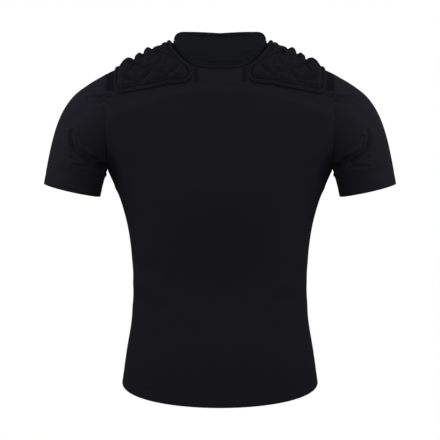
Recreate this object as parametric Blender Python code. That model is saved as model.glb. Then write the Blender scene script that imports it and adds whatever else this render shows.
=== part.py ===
"""A short-sleeved protective top with quilted shoulder pads, in its filled-out form with no wearer.

Metres, +Z up. The wearer faces -Y and the back of the top faces +Y.
The origin lies between the shoulders, level with the points where the shoulder seams meet the neck.
"""
import math
from collections import namedtuple

import bmesh
import bpy
import numpy as np
from mathutils import Vector
from mathutils.geometry import delaunay_2d_cdt

for old in list(bpy.data.objects):
    bpy.data.objects.remove(old, do_unlink=True)

BACK = 1
FRONT = -1
QUARTER = math.pi / 2

# Cloth thickness, and the space left between pieces that are sewn together.
CLOTH = 0.002
COLLAR_CLOTH = 0.003
SEAM_GAP = 0.0003

# Armhole: an upright oval in the plane x = ARMHOLE_X.
ARMHOLE_X = 0.197
ARMHOLE_TOP = -0.0514
ARMHOLE_BOTTOM = -0.2195
ARMHOLE_MIDDLE = (ARMHOLE_TOP + ARMHOLE_BOTTOM) / 2
ARMHOLE_HALF = (ARMHOLE_TOP - ARMHOLE_BOTTOM) / 2
ARMHOLE_DEPTH = {BACK: 0.072, FRONT: 0.062}

# Neckline, and the depth of the back and chest half-way up the armhole.
NECK_HALF_WIDTH = 0.083
NECK_POINT_Z = -0.002
NECK_RISE = 0.0045
NECK_RISE_WIDTH = 0.022
NECK_DEPTH = {BACK: 0.085, FRONT: 0.070}
YOKE_DEPTH = {BACK: 0.110, FRONT: 0.119}
SHOULDER_ROUND = 0.07
NECK_SQUARENESS = 2.6
SLOPE_STRAIGHTNESS = {BACK: 0.2, FRONT: 0.85}
RING_SQUARENESS = 0.88
FRONT_TAIL_SHARE = 0.6

# Body from hem to underarm. The tail is how much lower the hem hangs at its middle.
Section = namedtuple("Section", "height half_width back front tail")
BODY = [
    Section(height=-0.590, half_width=0.1712, back=0.116, front=0.110, tail=0.036),
    Section(height=-0.537, half_width=0.1637, back=0.109, front=0.107, tail=0.014),
    Section(height=-0.480, half_width=0.1547, back=0.099, front=0.105, tail=0.003),
    Section(height=-0.425, half_width=0.1523, back=0.093, front=0.105, tail=0.0),
    Section(height=-0.360, half_width=0.1557, back=0.096, front=0.110, tail=0.0),
    Section(height=-0.309, half_width=0.1641, back=0.102, front=0.116, tail=0.0),
    Section(height=-0.262, half_width=0.1785, back=0.107, front=0.119, tail=0.0),
    Section(height=ARMHOLE_BOTTOM, half_width=ARMHOLE_X, back=0.109, front=0.120, tail=0.0),
]
BODY_ROWS = 12
YOKE_ROWS = 6
NECK_COLUMNS = 7
SHOULDER_COLUMNS = 6

# Sleeve from armhole to cuff: its outer and inner edges seen from behind, and its depth each way.
Cuff = namedtuple("Cuff", "outer_x outer_z inner_x inner_z back front dip")
SLEEVE = [
    Cuff(outer_x=0.1970, outer_z=-0.0514, inner_x=0.1970, inner_z=-0.2195, back=0.072, front=0.062, dip=0.0),
    Cuff(outer_x=0.2290, outer_z=-0.0702, inner_x=0.1985, inner_z=-0.2234, back=0.072, front=0.063, dip=0.0),
    Cuff(outer_x=0.2545, outer_z=-0.0897, inner_x=0.2000, inner_z=-0.2272, back=0.071, front=0.063, dip=0.0),
    Cuff(outer_x=0.2718, outer_z=-0.1123, inner_x=0.2013, inner_z=-0.2314, back=0.070, front=0.063, dip=0.0),
    Cuff(outer_x=0.2840, outer_z=-0.1380, inner_x=0.2026, inner_z=-0.2362, back=0.068, front=0.062, dip=0.001),
    Cuff(outer_x=0.2934, outer_z=-0.1685, inner_x=0.2042, inner_z=-0.2428, back=0.065, front=0.060, dip=0.002),
    Cuff(outer_x=0.3010, outer_z=-0.2030, inner_x=0.2064, inner_z=-0.2515, back=0.062, front=0.058, dip=0.003),
    Cuff(outer_x=0.3085, outer_z=-0.2440, inner_x=0.2095, inner_z=-0.2665, back=0.058, front=0.055, dip=0.005),
]
SLEEVE_ROWS = 13
SLEEVE_POINTS = 36
SEAM_BLEND = 0.3

# Largest folds of the sleeve, pulled in towards the underarm: around in degrees from the underarm
# up the back, along as a share of the sleeve's length.
Fold = namedtuple("Fold", "around_from along_from around_to along_to depth half_width")
FOLDS = [
    Fold(around_from=12, along_from=0.10, around_to=62, along_to=0.62, depth=0.0050, half_width=0.0085),
    Fold(around_from=20, along_from=0.45, around_to=58, along_to=0.86, depth=0.0035, half_width=0.0075),
    Fold(around_from=-16, along_from=0.12, around_to=-58, along_to=0.66, depth=0.0042, half_width=0.0085),
    Fold(around_from=-22, along_from=0.50, around_to=-60, along_to=0.84, depth=0.0030, half_width=0.0075),
]

# Collar: its top edge, from the middle of the back (0 degrees) round the side to the middle of the front.
Rim = namedtuple("Rim", "turn height")
COLLAR_RIM = [
    Rim(turn=0, height=0.0130),
    Rim(turn=45, height=0.0165),
    Rim(turn=70, height=0.0180),
    Rim(turn=90, height=0.0150),
    Rim(turn=125, height=-0.0080),
    Rim(turn=180, height=-0.0300),
]
COLLAR_HALF_WIDTH = 0.0765
COLLAR_DEPTH = {BACK: 0.064, FRONT: 0.058}
COLLAR_BOW = 0.0015
COLLAR_ROWS = 4

# Shoulder pad outline: across is the distance from the middle of the top, over is the distance from
# the shoulder seam, down the back where it is positive and down the chest where it is negative.
Turn = namedtuple("Turn", "across over")
PAD_OUTLINE = [
    Turn(across=0.0855, over=0.000),
    Turn(across=0.0790, over=0.048),
    Turn(across=0.0660, over=0.080),
    Turn(across=0.0500, over=0.105),
    Turn(across=0.0475, over=0.124),
    Turn(across=0.0600, over=0.1355),
    Turn(across=0.1000, over=0.1245),
    Turn(across=0.1400, over=0.1105),
    Turn(across=0.1700, over=0.0985),
    Turn(across=0.1805, over=0.084),
    Turn(across=0.1830, over=0.060),
    Turn(across=0.1825, over=0.000),
    Turn(across=0.1815, over=-0.060),
    Turn(across=0.1725, over=-0.084),
    Turn(across=0.1450, over=-0.094),
    Turn(across=0.1050, over=-0.102),
    Turn(across=0.0860, over=-0.092),
    Turn(across=0.0830, over=-0.060),
]
PAD_LIFT = 0.0007
PAD_EDGE_WIDTH = 0.0070
PAD_EDGE_HEIGHT = 0.0042
PAD_STATIONS = 76
PAD_RIM_HEIGHT = 0.0030
PAD_GROOVE_HEIGHT = 0.0045
PAD_CELL_HEIGHT = 0.0086
PAD_CELL_BEVEL = 0.0085
PAD_RIM_BEVEL = 0.0120
CELL_WIDTH = 0.044
CELL_TILT = math.radians(-9)
CELL_START = (0.139, 0.064)
CELL_RINGS = (0.0055, 0.0130)
PAD_POINT_SPACE = 0.0040

CLOTH_COLOUR = (0.0105, 0.0105, 0.0130, 1.0)
PAD_COLOUR = (0.0095, 0.0095, 0.0120, 1.0)


def smooth_curve(places, values):
    """A function that runs smoothly through the values given at rising places."""
    slopes = np.gradient(np.array(values, float), np.array(places, float))

    def value_at(place):
        index = int(np.clip(np.searchsorted(places, place) - 1, 0, len(places) - 2))
        span = places[index + 1] - places[index]
        share = (place - places[index]) / span
        bend = share * share * (3 - 2 * share)
        ease_in = share * (1 - share) ** 2 * span * slopes[index]
        ease_out = share * share * (share - 1) * span * slopes[index + 1]
        return values[index] * (1 - bend) + values[index + 1] * bend + ease_in + ease_out

    return value_at


def closed_curve(points, count):
    """Evenly spaced points on a smooth closed curve through the given points."""
    points = np.array(points, float)
    dense = []
    for index in range(len(points)):
        before, start, end, after = (points[(index + step) % len(points)] for step in (-1, 0, 1, 2))
        for share in np.linspace(0, 1, 12, endpoint=False):
            bend = 2 * start + (end - before) * share
            bend = bend + (2 * before - 5 * start + 4 * end - after) * share ** 2
            bend = bend + (3 * start - before - 3 * end + after) * share ** 3
            dense.append(bend / 2)
    dense = np.array(dense + dense[:1])
    lengths = np.concatenate([[0], np.cumsum(np.linalg.norm(np.diff(dense, axis=0), axis=1))])
    stations = np.linspace(0, lengths[-1], count, endpoint=False)
    return np.stack([np.interp(stations, lengths, dense[:, axis]) for axis in (0, 1)], axis=1)


heights = [section.height for section in BODY]
half_width_at = smooth_curve(heights, [section.half_width for section in BODY])
tail_at = smooth_curve(heights, [section.tail for section in BODY])
depth_heights = heights + [ARMHOLE_MIDDLE]
depth_at = {
    BACK: smooth_curve(depth_heights, [section.back for section in BODY] + [YOKE_DEPTH[BACK]]),
    FRONT: smooth_curve(depth_heights, [section.front for section in BODY] + [YOKE_DEPTH[FRONT]]),
}


def ridge_height(across):
    """Height of the shoulder line: it sweeps up to the neck and slopes down to the armhole."""
    far = math.hypot(ARMHOLE_X, SHOULDER_ROUND)
    near = math.hypot(NECK_HALF_WIDTH, SHOULDER_ROUND)
    slope = (NECK_POINT_Z - ARMHOLE_TOP) / (far - near)
    beside = max(abs(across) - NECK_HALF_WIDTH, 0) / NECK_RISE_WIDTH
    rise = NECK_RISE * math.exp(-beside * beside)
    return NECK_POINT_Z + rise - slope * (math.hypot(across, SHOULDER_ROUND) - near)


def edge_turn(side, height):
    """How far round the body, from the middle of the back or chest, the armhole's edge lies."""
    rise = min(max((height - ARMHOLE_MIDDLE) / ARMHOLE_HALF, -1), 1)
    edge = ARMHOLE_DEPTH[side] * math.sqrt(1 - rise * rise)
    return math.acos((edge / depth_at[side](height)) ** (1 / RING_SQUARENESS))


def yoke_width_depth(side, across):
    """Depth of the back or chest half-way up the armhole."""
    share = across / ARMHOLE_X * math.sin(edge_turn(side, ARMHOLE_MIDDLE))
    return YOKE_DEPTH[side] * (1 - share * share) ** (RING_SQUARENESS / 2)


def yoke_power(side, across):
    """Roundness of the slope from the shoulder line down to the back or chest: 2 is a true oval."""
    return 2 - SLOPE_STRAIGHTNESS[side] * (1 - (across / ARMHOLE_X) ** 2) ** 2


def yoke_point(side, across, turn):
    """A point above the middle of the armhole; the turn runs from the shoulder line (0) to a quarter."""
    power = 2 / yoke_power(side, across)
    depth = yoke_width_depth(side, across) * math.sin(turn) ** power
    rise = ridge_height(across) - ARMHOLE_MIDDLE
    return (across, side * depth, ARMHOLE_MIDDLE + rise * max(math.cos(turn), 0) ** power)


def neck_bow(share):
    """How far back the neckline lies, as a share of its depth, at a share of its half width."""
    return max(1 - abs(share) ** NECK_SQUARENESS, 0) ** (1 / NECK_SQUARENESS)


def neck_turn(side, across):
    """The turn at which a slope meets the neckline; the shoulder seam where there is no neckline."""
    if abs(across) >= NECK_HALF_WIDTH:
        return 0.0
    depth = NECK_DEPTH[side] * neck_bow(across / NECK_HALF_WIDTH)
    return math.asin((depth / yoke_width_depth(side, across)) ** (yoke_power(side, across) / 2))


def armhole_inward(side, angle):
    """Direction into the armhole at an angle that is zero half-way up and a quarter at the top."""
    depth = side * abs(math.cos(angle)) / ARMHOLE_DEPTH[side]
    inward = -np.array([0.0, depth, math.sin(angle) / ARMHOLE_HALF])
    return inward / np.linalg.norm(inward)


def body_point(side, across, height):
    """A point between hem and underarm; across runs from -1 to 1 between the side seams."""
    turn = across * QUARTER
    bow = max(math.cos(turn), 0) ** RING_SQUARENESS
    tail = tail_at(height) * (1 if side == BACK else FRONT_TAIL_SHARE)
    depth = depth_at[side](height)
    return (half_width_at(height) * math.sin(turn), side * depth * bow, height - tail * bow)


def armhole_point(side, across, angle):
    """A point between underarm and the middle of the armhole, at an angle from minus a quarter to zero."""
    height = ARMHOLE_MIDDLE + ARMHOLE_HALF * math.sin(angle)
    edge = edge_turn(side, height)
    ring = math.sin(-angle) ** 2
    turn = ring * across * edge + (1 - ring) * math.asin(across * math.sin(edge))
    depth = depth_at[side](height) * math.cos(turn) ** RING_SQUARENESS
    return (ARMHOLE_X * math.sin(turn) / math.sin(edge), side * depth, height)


def grid_normals(grid, closed):
    """Unit normals of a grid of points; closed where the last column meets the first."""
    along = np.gradient(grid, axis=0)
    if closed:
        around = np.roll(grid, -1, axis=1) - np.roll(grid, 1, axis=1)
    else:
        around = np.gradient(grid, axis=1)
    normals = np.cross(around, along)
    return normals / np.maximum(np.linalg.norm(normals, axis=2, keepdims=True), 1e-12)


def plain_material(name, colour):
    material = bpy.data.materials.new(name)
    material.use_nodes = True
    shader = material.node_tree.nodes["Principled BSDF"]
    shader.inputs["Base Color"].default_value = colour
    shader.inputs["Roughness"].default_value = 0.85
    return material


garment = bpy.data.collections.new("protective_top")
bpy.context.scene.collection.children.link(garment)


def solid(name, mesh_maker, colour):
    """A named piece whose faces all point outwards."""
    mesh = bpy.data.meshes.new(name)
    bm = bmesh.new()
    mesh_maker(bm)
    bmesh.ops.recalc_face_normals(bm, faces=bm.faces)
    bm.to_mesh(mesh)
    bm.free()
    mesh.materials.append(plain_material(name + "_material", colour))
    piece = bpy.data.objects.new(name, mesh)
    garment.objects.link(piece)
    return piece


def wall(name, outer, inner, closed, colour):
    """A cloth wall between an outer and an inner grid of points, closed round or with four edges."""
    rows, columns = outer.shape[:2]

    def make(bm):
        skins = [[[bm.verts.new(point) for point in row] for row in grid] for grid in (outer, inner)]
        last = columns if closed else columns - 1
        for skin in skins:
            for row in range(rows - 1):
                for column in range(last):
                    beside = (column + 1) % columns
                    bm.faces.new((skin[row][column], skin[row][beside],
                                  skin[row + 1][beside], skin[row + 1][column]))
        out, into = skins
        for row in (0, rows - 1):
            for column in range(last):
                beside = (column + 1) % columns
                bm.faces.new((out[row][column], out[row][beside], into[row][beside], into[row][column]))
        if not closed:
            for column in (0, columns - 1):
                for row in range(rows - 1):
                    bm.faces.new((out[row][column], out[row + 1][column],
                                  into[row + 1][column], into[row][column]))

    return solid(name, make, colour)


# Back and front panels: rows run from the hem up to the shoulder seams and the neckline.
neck_share = NECK_HALF_WIDTH / ARMHOLE_X
half_columns = [neck_share * math.sin(turn) for turn in np.linspace(0, QUARTER, NECK_COLUMNS + 1)]
half_columns += list(np.linspace(neck_share, 1, SHOULDER_COLUMNS + 1)[1:])
columns = [-share for share in half_columns[:0:-1]] + half_columns
body_heights = np.linspace(heights[0], heights[-1], BODY_ROWS + 1)
armhole_angles = np.linspace(-QUARTER, 0, YOKE_ROWS + 1)[1:]
yoke_shares = np.linspace(0, 1, YOKE_ROWS + 1)[1:]


def panel(name, side):
    outer = [[body_point(side, across, height) for across in columns] for height in body_heights]
    outer += [[armhole_point(side, across, angle) for across in columns] for angle in armhole_angles]
    for share in yoke_shares:
        row = []
        for across in columns:
            top = neck_turn(side, across * ARMHOLE_X)
            row.append(yoke_point(side, across * ARMHOLE_X, QUARTER + (top - QUARTER) * share))
        outer.append(row)
    outer = np.array(outer)
    outer[..., 1] = side * np.maximum(side * outer[..., 1], SEAM_GAP / 2)
    inward = -grid_normals(outer, closed=False) * -side
    shoulder = [index for index, across in enumerate(columns) if abs(across) >= neck_share - 1e-9]
    inward[:BODY_ROWS + 1, [0, -1], 1] = 0
    inward[-1, shoulder, 1] = 0
    inward /= np.linalg.norm(inward, axis=2, keepdims=True)
    angles = list(armhole_angles) + [QUARTER * share for share in yoke_shares]
    for row, angle in enumerate([-QUARTER] + angles):
        inward[BODY_ROWS + row, [0, -1]] = armhole_inward(side, angle)
    return wall(name, outer, outer + inward * CLOTH, False, CLOTH_COLOUR)


panel("back_panel", BACK)
panel("front_panel", FRONT)


# Sleeves: rings fan out round the underarm from the armhole to the cuff.
sleeve_places = list(np.linspace(0, 1, len(SLEEVE)))
sleeve_at = {field: smooth_curve(sleeve_places, [getattr(cuff, field) for cuff in SLEEVE])
             for field in Cuff._fields}


def sleeve_point(along, angle):
    """A point of the left sleeve; the angle is minus a quarter at the underarm and zero at the back."""
    outer = np.array([sleeve_at["outer_x"](along), 0, sleeve_at["outer_z"](along)])
    inner = np.array([sleeve_at["inner_x"](along), 0, sleeve_at["inner_z"](along)])
    depth = sleeve_at["back" if math.cos(angle) > 0 else "front"](along) * math.cos(angle)
    dip = sleeve_at["dip"](along) * abs(math.cos(angle))
    return (outer + inner) / 2 + (outer - inner) / 2 * math.sin(angle) + np.array([0, depth, -dip])


def distance_to_line(points, line):
    """Distance from each point to the nearest place on a line through several points."""
    nearest = np.full(points.shape[:-1], 1e9)
    for start, end in zip(line[:-1], line[1:]):
        span = end - start
        share = np.clip(((points - start) @ span) / (span @ span), 0, 1)
        gaps = np.linalg.norm(points - (start + share[..., None] * span), axis=-1)
        nearest = np.minimum(nearest, gaps)
    return nearest


def sleeve(name, mirror):
    angles = np.linspace(0, 2 * math.pi, SLEEVE_POINTS, endpoint=False) - QUARTER
    places = np.linspace(0, 1, SLEEVE_ROWS)
    outer = np.array([[sleeve_point(along, angle) for angle in angles] for along in places])
    inward = grid_normals(outer, closed=True)
    centre = outer.mean(axis=1, keepdims=True)
    inward *= np.sign(((centre - outer) * inward).sum(axis=2, keepdims=True))
    pull = np.zeros(outer.shape[:2])
    for fold in FOLDS:
        shares = np.linspace(0, 1, 6)
        around = np.radians(fold.around_from + (fold.around_to - fold.around_from) * shares) - QUARTER
        along = fold.along_from + (fold.along_to - fold.along_from) * shares
        line = np.array([sleeve_point(place, angle) for place, angle in zip(along, around)])
        pull += fold.depth * np.exp(-(distance_to_line(outer, line) / fold.half_width) ** 2)
    pull *= np.clip(places * 8, 0, 1)[:, None] * np.clip((1 - places) * 5, 0, 1)[:, None]
    outer = outer + inward * pull[..., None]
    seam_inward = np.array([armhole_inward(BACK if math.cos(angle) > 0 else FRONT, angle) for angle in angles])
    seam_share = np.clip(1 - places / SEAM_BLEND, 0, 1)[:, None, None]
    inward = inward * (1 - seam_share) + seam_inward[None] * seam_share
    inward /= np.linalg.norm(inward, axis=2, keepdims=True)
    outer[..., 0] += SEAM_GAP
    inner = outer + inward * CLOTH
    flip = np.array([mirror, 1, 1])
    return wall(name, outer * flip, inner * flip, True, CLOTH_COLOUR)


sleeve("sleeve_left", 1)
sleeve("sleeve_right", -1)


# Collar: a band from the neckline to its own top edge, which is highest behind the ears.
rim_at = smooth_curve([rim.turn for rim in COLLAR_RIM], [rim.height for rim in COLLAR_RIM])


def neck_point(turn):
    """A point of the neckline; the turn is zero at the middle of the back."""
    side = BACK if math.cos(turn) >= 0 else FRONT
    across = NECK_HALF_WIDTH * math.sin(turn)
    return yoke_point(side, across, neck_turn(side, across))


def collar_point(turn, share):
    side = BACK if math.cos(turn) >= 0 else FRONT
    from_back = abs((math.degrees(turn) + 180) % 360 - 180)
    low = np.array(neck_point(turn)) + np.array([0, 0, 1.25 * SEAM_GAP])
    high = np.array([COLLAR_HALF_WIDTH * math.sin(turn),
                     side * COLLAR_DEPTH[side] * neck_bow(math.sin(turn)), rim_at(from_back)])
    bow = COLLAR_BOW * math.sin(math.pi * share)
    return low + (high - low) * share + bow * np.array([math.sin(turn), math.cos(turn), 0])


collar_turns = np.linspace(0, 2 * math.pi, 4 * NECK_COLUMNS, endpoint=False)
collar_outer = np.array([[collar_point(turn, share) for turn in collar_turns]
                         for share in np.linspace(0, 1, COLLAR_ROWS + 1)])
collar_inward = grid_normals(collar_outer, closed=True)
collar_middle = collar_outer.mean(axis=(0, 1))
collar_inward *= np.sign(((collar_middle - collar_outer) * collar_inward).sum(axis=2, keepdims=True))
wall("collar", collar_outer, collar_outer + collar_inward * COLLAR_CLOTH, True, CLOTH_COLOUR)


# Shoulder pads: a place on the shoulder is found by its distance over the shoulder line.
def shoulder_place(across, over):
    side = BACK if over >= 0 else FRONT
    turns = np.linspace(0, QUARTER, 61)
    slope = np.array([yoke_point(side, across, turn) for turn in turns])
    lengths = np.concatenate([[0], np.cumsum(np.linalg.norm(np.diff(slope, axis=0), axis=1))])
    return np.array([np.interp(abs(over), lengths, slope[:, axis]) for axis in range(3)])


def shoulder_point(across, over, lift):
    """A point at a height above the cloth of the left shoulder."""
    step = 0.003
    along = shoulder_place(across + step, over) - shoulder_place(across - step, over)
    down = shoulder_place(across, over + step) - shoulder_place(across, over - step)
    normal = np.cross(along, down)
    return shoulder_place(across, over) + normal * lift / np.linalg.norm(normal)


def curve_inward(outline):
    """Unit directions into a closed curve."""
    tangent = np.roll(outline, -1, axis=0) - np.roll(outline, 1, axis=0)
    tangent /= np.linalg.norm(tangent, axis=1, keepdims=True)
    inward = np.stack([-tangent[:, 1], tangent[:, 0]], axis=1)
    middle = outline.mean(axis=0)
    return inward * np.sign(((middle - outline) * inward).sum())


def inside(outline, point):
    """Whether a point lies inside a closed curve."""
    start = outline
    end = np.roll(outline, -1, axis=0)
    crosses = (start[:, 1] > point[1]) != (end[:, 1] > point[1])
    rise = np.where(crosses, end[:, 1] - start[:, 1], 1)
    meets = start[:, 0] + (point[1] - start[:, 1]) * (end[:, 0] - start[:, 0]) / rise
    return bool(np.sum(crosses & (point[0] < meets)) % 2)


pad_edge = closed_curve(PAD_OUTLINE, PAD_STATIONS)
pad_inward = curve_inward(pad_edge)
core = pad_edge + pad_inward * (PAD_EDGE_WIDTH + SEAM_GAP)
core_loop = np.vstack([core, core[:1]])


def cell_axes():
    return [np.array([math.cos(CELL_TILT + k * math.pi / 3), math.sin(CELL_TILT + k * math.pi / 3)])
            for k in range(3)]


def cell_centres():
    """Centres of the six-sided cells that reach the pad."""
    side = np.array([math.cos(CELL_TILT), math.sin(CELL_TILT)]) * CELL_WIDTH
    slant = np.array([math.cos(CELL_TILT + math.pi / 3), math.sin(CELL_TILT + math.pi / 3)]) * CELL_WIDTH
    return [np.array(CELL_START) + side * i + slant * j for i in range(-8, 9) for j in range(-8, 9)]


centres = np.array([c for c in cell_centres() if np.min(np.linalg.norm(core - c, axis=1)) < 0.03
                    or inside(core, c)])


def cell_height(point):
    """Height of the quilted pad: low in the grooves between cells, highest inside each cell."""
    offset = point - centres[np.argmin(np.linalg.norm(centres - point, axis=1))]
    to_groove = CELL_WIDTH / 2 - max(abs(offset @ axis) for axis in cell_axes())
    to_rim = float(distance_to_line(point[None, :], core_loop)[0])
    groove = math.sin(min(to_groove / PAD_CELL_BEVEL, 1) * QUARTER)
    rim = math.sin(min(to_rim / PAD_RIM_BEVEL, 1) * QUARTER)
    quilted = PAD_GROOVE_HEIGHT + (PAD_CELL_HEIGHT - PAD_GROOVE_HEIGHT) * max(groove, 0)
    return PAD_RIM_HEIGHT + (quilted - PAD_RIM_HEIGHT) * rim


def pad_points():
    """Places for the pad's corners: its rim, the grooves, then rings inside each cell."""
    places = list(core)
    corner_turns = CELL_TILT + math.pi / 6 + np.arange(7) * math.pi / 3
    corners = np.stack([np.cos(corner_turns), np.sin(corner_turns)], axis=1) * CELL_WIDTH / math.sqrt(3)
    rings = [(1.0, 4)] + [(1 - 2 * inset / CELL_WIDTH, 2 if inset < 0.01 else 1) for inset in CELL_RINGS]
    for share, cuts in rings:
        for centre in centres:
            for start, end in zip(corners[:-1], corners[1:]):
                for cut in range(cuts):
                    places.append(centre + share * (start + (end - start) * cut / cuts))
    places += list(centres)
    kept = places[:len(core)]
    for place in places[len(core):]:
        if inside(core, place) and np.min(np.linalg.norm(np.array(kept) - place, axis=1)) > PAD_POINT_SPACE:
            kept.append(place)
    return kept


pad_places = pad_points()
rim_pairs = [(k, (k + 1) % len(core)) for k in range(len(core))]
pad_flat, _, pad_faces, pad_origin, _, _ = delaunay_2d_cdt(
    [Vector(place) for place in pad_places], rim_pairs, [], 1, 1e-7)


def shoulder_pad(name, mirror):
    flat = [np.array(place) for place in pad_flat]
    lows = [shoulder_point(place[0], place[1], PAD_LIFT) for place in flat]
    highs = [shoulder_point(place[0], place[1], PAD_LIFT + cell_height(place)) for place in flat]
    flip = np.array([mirror, 1, 1])

    def make(bm):
        low = [bm.verts.new(point * flip) for point in lows]
        high = [bm.verts.new(point * flip) for point in highs]
        for face in pad_faces:
            bm.faces.new([high[k] for k in face])
            bm.faces.new([low[k] for k in reversed(face)])
        at = {source: index for index, sources in enumerate(pad_origin) for source in sources}
        for start, end in rim_pairs:
            bm.faces.new((low[at[start]], low[at[end]], high[at[end]], high[at[start]]))

    return solid(name, make, PAD_COLOUR)


shoulder_pad("shoulder_pad_left", 1)
shoulder_pad("shoulder_pad_right", -1)


# Pad edging: a rounded band sewn round each pad.
Profile = namedtuple("Profile", "inset lift")
EDGE_PROFILE = [
    Profile(inset=0.00, lift=0.0),
    Profile(inset=0.50, lift=0.0),
    Profile(inset=1.00, lift=0.0),
    Profile(inset=1.00, lift=0.55),
    Profile(inset=0.50, lift=1.0),
    Profile(inset=0.00, lift=0.50),
]


def pad_edging(name, mirror):
    flip = np.array([mirror, 1, 1])
    rings = []
    for place, direction in zip(pad_edge, pad_inward):
        ring = []
        for corner in EDGE_PROFILE:
            spot = place + direction * corner.inset * PAD_EDGE_WIDTH
            ring.append(shoulder_point(spot[0], spot[1], PAD_LIFT + corner.lift * PAD_EDGE_HEIGHT) * flip)
        rings.append(ring)

    def make(bm):
        loops = [[bm.verts.new(point) for point in ring] for ring in rings]
        for index, loop in enumerate(loops):
            after = loops[(index + 1) % len(loops)]
            for corner in range(len(loop)):
                beside = (corner + 1) % len(loop)
                bm.faces.new((loop[corner], loop[beside], after[beside], after[corner]))

    return solid(name, make, PAD_COLOUR)


pad_edging("pad_edge_left", 1)
pad_edging("pad_edge_right", -1)
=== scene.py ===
"""A short-sleeved protective top with quilted shoulder pads, filled out as if worn, seen from behind."""

import math
from collections import namedtuple

import bmesh
import bpy
import numpy as np
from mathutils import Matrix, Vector
from mathutils.geometry import delaunay_2d_cdt


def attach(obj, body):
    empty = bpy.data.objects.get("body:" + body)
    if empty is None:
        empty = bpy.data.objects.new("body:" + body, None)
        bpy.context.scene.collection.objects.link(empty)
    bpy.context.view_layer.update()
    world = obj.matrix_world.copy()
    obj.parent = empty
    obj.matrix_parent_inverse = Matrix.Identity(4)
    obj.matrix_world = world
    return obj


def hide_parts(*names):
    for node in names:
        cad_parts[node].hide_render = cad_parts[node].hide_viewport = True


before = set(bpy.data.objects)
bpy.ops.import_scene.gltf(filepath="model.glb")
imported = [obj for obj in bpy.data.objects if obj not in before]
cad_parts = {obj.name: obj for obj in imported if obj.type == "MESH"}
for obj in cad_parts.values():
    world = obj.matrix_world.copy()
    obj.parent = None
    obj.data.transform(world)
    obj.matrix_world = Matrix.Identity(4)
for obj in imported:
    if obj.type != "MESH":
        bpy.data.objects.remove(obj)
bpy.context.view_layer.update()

# Back and front of the top: two panels of close-knit stretch jersey, sewn together at the sides and
# over the shoulders. Each is a thin wall that keeps the worn form, pressed in along its seams.
BACK = 1
FRONT = -1
QUARTER = math.pi / 2
PANEL_CLOTH = 0.0018
SEAM_GAP = 0.0003

ARMHOLE_X = 0.197
ARMHOLE_TOP = -0.0514
ARMHOLE_BOTTOM = -0.2195
ARMHOLE_MIDDLE = (ARMHOLE_TOP + ARMHOLE_BOTTOM) / 2
ARMHOLE_HALF = (ARMHOLE_TOP - ARMHOLE_BOTTOM) / 2
ARMHOLE_DEPTH = {BACK: 0.072, FRONT: 0.062}

NECK_HALF_WIDTH = 0.083
NECK_POINT_Z = -0.002
NECK_RISE = 0.0045
NECK_RISE_WIDTH = 0.022
NECK_DEPTH = {BACK: 0.085, FRONT: 0.070}
NECK_SQUARENESS = 2.6
YOKE_DEPTH = {BACK: 0.110, FRONT: 0.119}
SHOULDER_ROUND = 0.07
SLOPE_STRAIGHTNESS = {BACK: 0.2, FRONT: 0.85}
RING_SQUARENESS = 0.88
FRONT_TAIL_SHARE = 0.6

Section = namedtuple("Section", "height half_width back front tail")
BODY = [
    Section(height=-0.59, half_width=0.1712, back=0.116, front=0.11, tail=0.036),
    Section(height=-0.537, half_width=0.1637, back=0.109, front=0.107, tail=0.014),
    Section(height=-0.48, half_width=0.1547, back=0.099, front=0.105, tail=0.003),
    Section(height=-0.425, half_width=0.1523, back=0.093, front=0.105, tail=0.0),
    Section(height=-0.36, half_width=0.1557, back=0.096, front=0.11, tail=0.0),
    Section(height=-0.309, half_width=0.1641, back=0.102, front=0.116, tail=0.0),
    Section(height=-0.262, half_width=0.1785, back=0.107, front=0.119, tail=0.0),
    Section(height=ARMHOLE_BOTTOM, half_width=ARMHOLE_X, back=0.109, front=0.12, tail=0.0),
]

# Creases of the panels, as places seen from behind. Each is deepest at the end of its line.
Crease = namedtuple("Crease", "line depth half_width")
PANEL_CREASES = {
    BACK: [
        Crease(line=[(0.0426, -0.047), (0.0419, -0.057), (0.0394, -0.0725)],
               depth=0.0037, half_width=0.0031),
        Crease(line=[(-0.0432, -0.047), (-0.0424, -0.057), (-0.0412, -0.0725)],
               depth=0.0037, half_width=0.0031),
        Crease(line=[(0.173, -0.0975), (0.186, -0.0966), (0.1972, -0.096)], depth=0.0038, half_width=0.003),
        Crease(line=[(-0.174, -0.0972), (-0.185, -0.0968), (-0.1972, -0.096)],
               depth=0.0038, half_width=0.003),
        Crease(line=[(0.196, -0.205), (0.188, -0.214), (0.181, -0.232)], depth=0.0034, half_width=0.01),
        Crease(line=[(-0.196, -0.205), (-0.188, -0.215), (-0.18, -0.233)], depth=0.0034, half_width=0.01),
        Crease(line=[(0.15, -0.437), (0.128, -0.446), (0.1, -0.462)], depth=0.0016, half_width=0.012),
        Crease(line=[(-0.15, -0.431), (-0.124, -0.442), (-0.098, -0.452)], depth=0.0016, half_width=0.012),
        Crease(line=[(0.15, -0.402), (0.132, -0.398), (0.108, -0.388)], depth=0.0012, half_width=0.013),
        Crease(line=[(-0.15, -0.406), (-0.13, -0.4), (-0.112, -0.394)], depth=0.0012, half_width=0.013),
    ],
    FRONT: [
        Crease(line=[(0.196, -0.198), (0.184, -0.208), (0.172, -0.226)], depth=0.0034, half_width=0.01),
        Crease(line=[(-0.196, -0.199), (-0.185, -0.207), (-0.174, -0.229)], depth=0.0034, half_width=0.01),
        Crease(line=[(0.15, -0.428), (0.121, -0.44), (0.086, -0.447)], depth=0.0018, half_width=0.012),
        Crease(line=[(-0.15, -0.434), (-0.126, -0.441), (-0.094, -0.456)], depth=0.0018, half_width=0.012),
        Crease(line=[(0.15, -0.398), (0.124, -0.395), (0.101, -0.384)], depth=0.0013, half_width=0.013),
        Crease(line=[(-0.15, -0.401), (-0.129, -0.391), (-0.104, -0.387)], depth=0.0013, half_width=0.013),
    ],
}
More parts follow.
